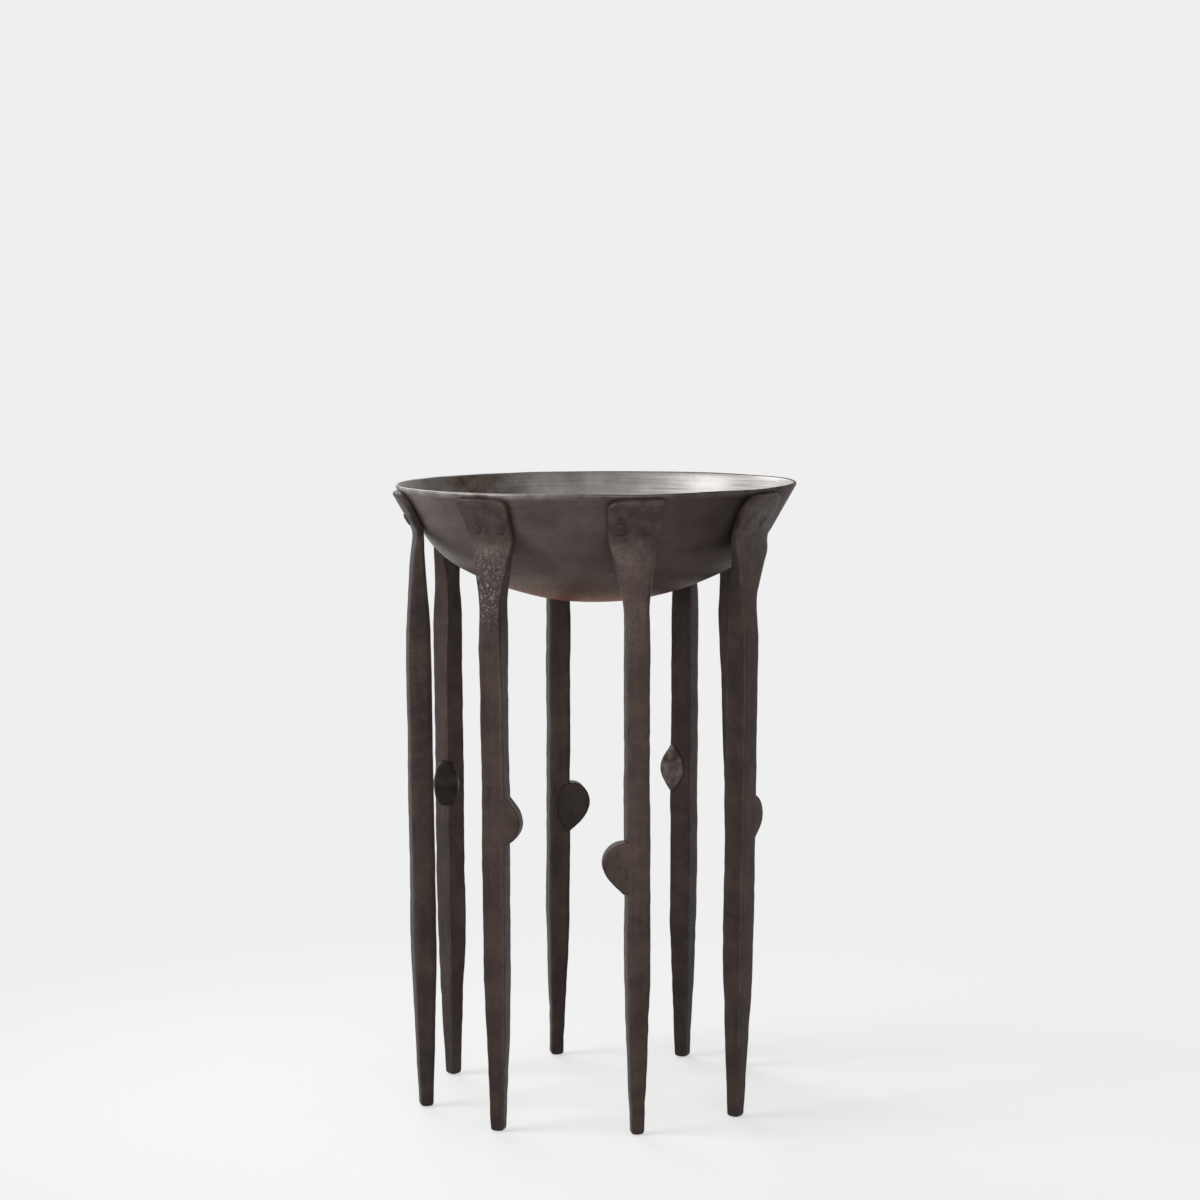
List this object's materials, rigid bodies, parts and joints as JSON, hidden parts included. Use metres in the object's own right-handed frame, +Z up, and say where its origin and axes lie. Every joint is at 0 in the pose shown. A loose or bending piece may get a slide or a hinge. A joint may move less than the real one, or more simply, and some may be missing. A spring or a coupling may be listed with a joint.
{
  "type": "candle holder",
  "caption": "Forged iron candle holder: a shallow flared bowl riveted to a ring of tall square legs, each with a forged bud and a tapered foot.",
  "frame": {"origin": "on the floor, under the bowl's axis", "axes": "+Z up along the bowl's axis, -Y towards the front of the picture, +X to its right"},
  "size_m": [0.2373, 0.2399, 0.365],
  "materials": {
    "forged_bar": "hand-forged square bar, oil-blackened brown-black, satin with hammer marks",
    "bowl_sheet": "beaten sheet, oil-blackened outside, burnished brighter inside and along the rim",
    "rivet_iron": "hammered low rivet heads, blackened"
  },
  "bodies": {
    "root": {"bowl": "bowl_sheet", "leg_1": "forged_bar", "leg_2": "forged_bar", "leg_3": "forged_bar", "leg_4": "forged_bar", "leg_5": "forged_bar", "leg_6": "forged_bar", "leg_7": "forged_bar", "leg_8": "forged_bar", "bud_1": "forged_bar", "bud_2": "forged_bar", "bud_3": "forged_bar", "bud_4": "forged_bar", "bud_5": "forged_bar", "bud_6": "forged_bar", "bud_7": "forged_bar", "bud_8": "forged_bar", "rivets_1": "rivet_iron", "rivets_2": "rivet_iron", "rivets_3": "rivet_iron", "rivets_4": "rivet_iron", "rivets_5": "rivet_iron", "rivets_6": "rivet_iron", "rivets_7": "rivet_iron", "rivets_8": "rivet_iron"}
  },
  "joints": []
}
